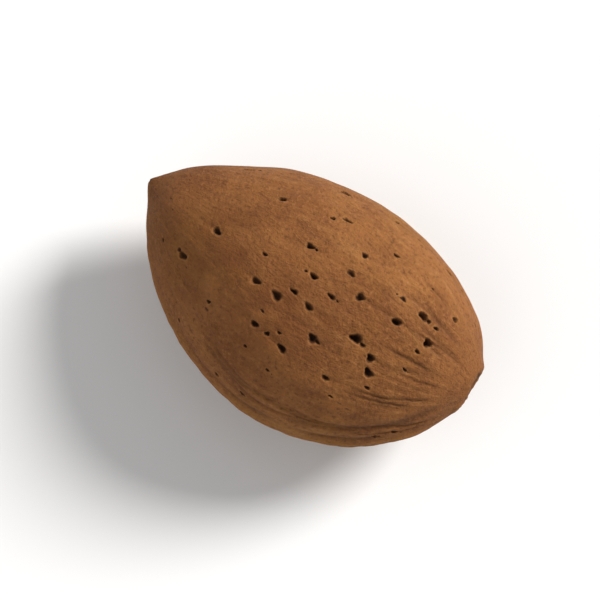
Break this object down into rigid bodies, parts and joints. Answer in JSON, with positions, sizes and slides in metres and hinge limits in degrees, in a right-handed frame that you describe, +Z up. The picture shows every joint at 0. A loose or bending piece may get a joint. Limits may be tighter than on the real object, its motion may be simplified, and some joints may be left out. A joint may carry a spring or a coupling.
{
  "type": "almond in shell",
  "caption": "Whole almond in its hard shell, pointed at one end and blunt at the stem end, with a raised seam along its fuller edge; lies on its broad face.",
  "frame": {"origin": "on the surface that the almond lies on, under the middle of its bounding box", "axes": "+Z up through the almond's thickness; X along its length, with the pointed tip at -X and the stem end at +X; the keel, which is the raised seam along the fuller edge, faces -Y"},
  "size_m": [0.0342, 0.0222, 0.016],
  "materials": {
    "almond_shell": "dry, matt, woody tan-brown shell with dark pits, fine fibres along its length and a paler raised seam"
  },
  "bodies": {
    "root": {"almond_in_shell": "almond_shell"}
  },
  "joints": []
}
